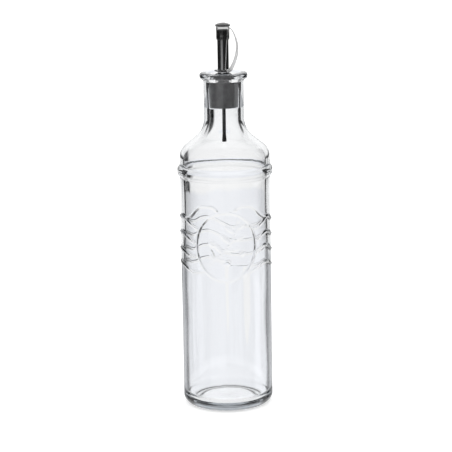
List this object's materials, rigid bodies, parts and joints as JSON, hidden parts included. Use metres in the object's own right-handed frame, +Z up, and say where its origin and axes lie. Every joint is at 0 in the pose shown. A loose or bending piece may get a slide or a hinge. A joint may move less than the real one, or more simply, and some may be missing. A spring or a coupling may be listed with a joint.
{
  "type": "glass oil bottle",
  "caption": "Tall round clear glass oil bottle with an embossed oval and waves, a raised bead, and a grey stopper pourer with a steel spout and tethered clear cap.",
  "frame": {"origin": "centre of the base, on the plane that the bottle stands on", "axes": "+Z up the bottle's axis; the embossed oval faces -Y; the cap's strap bows out towards +X"},
  "size_m": [0.076, 0.076, 0.3086],
  "materials": {
    "glass": "clear soda-lime glass, moulded",
    "stopper_rubber": "satin grey",
    "spout_steel": "mirror polished",
    "vent_plastic": "satin dark grey",
    "clear_plastic": "clear, slightly smoky"
  },
  "bodies": {
    "bottle": {"bottle": "glass"},
    "pourer": {"stopper": "stopper_rubber", "spout_tube": "spout_steel", "vent_tube": "vent_plastic"},
    "tether": {"tether_ring": "clear_plastic", "tether_strap": "clear_plastic"},
    "cap": {"cap": "clear_plastic"}
  },
  "joints": [
    {"name": "pourer_lift", "type": "slide", "parent": "bottle", "child": "pourer", "axis": [0, 0, 1], "range_m": [0, 0.06]},
    {"name": "tether_swivel", "type": "hinge", "parent": "pourer", "child": "tether", "pos_m": [0, 0, 0.2709], "axis": [0, 0, 1], "continuous": true},
    {"name": "cap_lift", "type": "slide", "parent": "tether", "child": "cap", "axis": [0, 0, 1], "range_m": [0, 0.01], "deforming": ["tether_strap"]}
  ]
}
